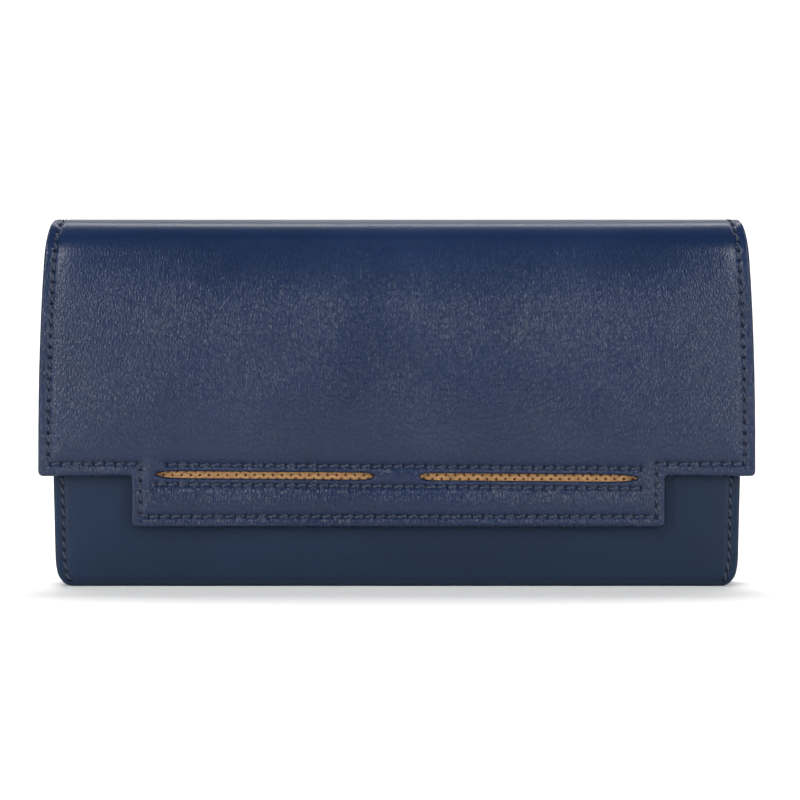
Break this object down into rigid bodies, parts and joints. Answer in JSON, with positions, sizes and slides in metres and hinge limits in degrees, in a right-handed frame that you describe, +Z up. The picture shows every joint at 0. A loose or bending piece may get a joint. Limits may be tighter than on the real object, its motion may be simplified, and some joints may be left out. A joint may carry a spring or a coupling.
{
  "type": "long wallet",
  "caption": "Long flap wallet of padded navy leather, its stepped flap slit over a woven strip, with bill compartments, card slots and a zipped coin pocket.",
  "frame": {"origin": "middle of the base, at the bottom of the wallet's bounding box, with the wallet standing on its base", "axes": "+X to the wallet's right as its flap is seen from the front, +Y to the back, +Z up"},
  "size_m": [0.2, 0.028, 0.1035],
  "materials": {
    "navy_leather": "fine pebbled grain, soft sheen",
    "slot_leather": "thin smooth-grained leather",
    "lining_cloth": "fine twill",
    "woven_straw": "woven straw",
    "grey_board": "pressed board",
    "zip_cloth": "herringbone tape",
    "zip_nylon": "moulded coil",
    "gold_metal": "light gold plate",
    "magnet_steel": "nickel plate",
    "navy_thread": "waxed thread",
    "edge_paint": "painted cut edge"
  },
  "bodies": {
    "back_body": {"base_leather": "navy_leather", "back_leather": "navy_leather", "back_board": "grey_board", "back_lining": "lining_cloth", "base_lining": "lining_cloth", "card_slot_left_1": "slot_leather", "card_slot_left_2": "slot_leather", "card_slot_left_3": "slot_leather", "card_slot_right_1": "slot_leather", "card_slot_right_2": "slot_leather", "card_slot_right_3": "slot_leather", "flap_root_leather": "navy_leather", "gusset_left": "lining_cloth", "gusset_right": "lining_cloth"},
    "top_fold": {"fold_leather": "navy_leather", "fold_lining": "lining_cloth"},
    "flap": {"flap_leather": "navy_leather", "flap_board": "grey_board", "flap_lining": "lining_cloth", "woven_strip": "woven_straw", "flap_magnet": "magnet_steel"},
    "coin_pocket": {"coin_pocket_front_wall": "lining_cloth", "coin_pocket_rear_wall": "lining_cloth", "coin_pocket_floor": "lining_cloth", "coin_pocket_side_left": "lining_cloth", "coin_pocket_side_right": "lining_cloth", "zip_tape_front": "zip_cloth", "zip_tape_rear": "zip_cloth", "zip_coil_front": "zip_nylon", "zip_coil_rear": "zip_nylon", "zip_stop_left": "gold_metal", "zip_stop_right": "gold_metal"},
    "slider": {"zip_slider": "gold_metal"},
    "pull": {"zip_pull": "gold_metal"},
    "front_panel": {"front_leather": "navy_leather", "front_board": "grey_board", "front_lining": "lining_cloth", "front_magnet": "magnet_steel"}
  },
  "joints": [
    {"name": "flap_fold_rear", "type": "hinge", "parent": "back_body", "child": "top_fold", "pos_m": [0, 0.01006, 0.09956], "axis": [-1, 0, 0], "range_deg": [0, 90]},
    {"name": "flap_fold_front", "type": "hinge", "parent": "top_fold", "child": "flap", "pos_m": [0, -0.01006, 0.09956], "axis": [-1, 0, 0], "range_deg": [0, 90]},
    {"name": "coin_pocket_lean", "type": "hinge", "parent": "back_body", "child": "coin_pocket", "pos_m": [0, -0.0076, 0.0035], "axis": [1, 0, 0], "range_deg": [0, 6]},
    {"name": "front_panel_lean", "type": "hinge", "parent": "back_body", "child": "front_panel", "pos_m": [0, -0.0076, 0.0035], "axis": [1, 0, 0], "range_deg": [0, 12], "deforming": ["gusset_left", "gusset_right"]},
    {"name": "zip_slide", "type": "slide", "parent": "coin_pocket", "child": "slider", "axis": [-1, 0, 0], "range_m": [0, 0.154]},
    {"name": "zip_pull_swing", "type": "hinge", "parent": "slider", "child": "pull", "pos_m": [0.077, -0.0006, 0.0819], "axis": [0, 1, 0], "range_deg": [0, 180]}
  ],
  "couplings": [
    {"joint": "flap_fold_front", "follows": "flap_fold_rear", "ratio": 1},
    {"joint": "coin_pocket_lean", "follows": "flap_fold_rear", "ratio": 0.0666},
    {"joint": "front_panel_lean", "follows": "flap_fold_rear", "ratio": 0.1333}
  ]
}
